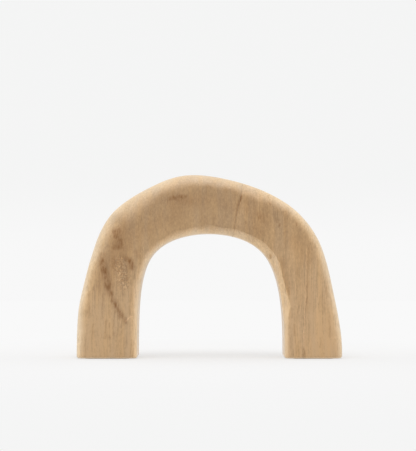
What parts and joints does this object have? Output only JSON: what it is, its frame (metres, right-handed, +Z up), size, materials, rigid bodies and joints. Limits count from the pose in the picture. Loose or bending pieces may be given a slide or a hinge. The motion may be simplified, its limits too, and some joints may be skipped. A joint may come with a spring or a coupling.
{
  "type": "book end",
  "caption": "Free-standing arch book end carved from light wood, with thick legs, an uneven softened crown, a slanted glued joint and felt pads under the feet.",
  "frame": {"origin": "on the surface that the book end stands on, midway between the outer faces of the feet and midway front to back", "axes": "+Z up; +X along the arch towards the right leg, seen from the front; +Y through the depth, with the front at -Y"},
  "size_m": [0.231, 0.05, 0.16],
  "materials": {
    "carved_wood_left": "hand-sanded, bare, slightly greyer and speckled",
    "carved_wood_right": "hand-sanded, bare, straight vertical grain",
    "glue": "dried wood glue, dark and matte",
    "dowel_wood": "turned hardwood, bare",
    "felt": "dense dark wool felt"
  },
  "bodies": {
    "root": {"left_limb": "carved_wood_left", "right_limb": "carved_wood_right", "crown_glue_line": "glue", "front_dowel": "dowel_wood", "rear_dowel": "dowel_wood", "left_foot_pad": "felt", "right_foot_pad": "felt"}
  },
  "joints": []
}
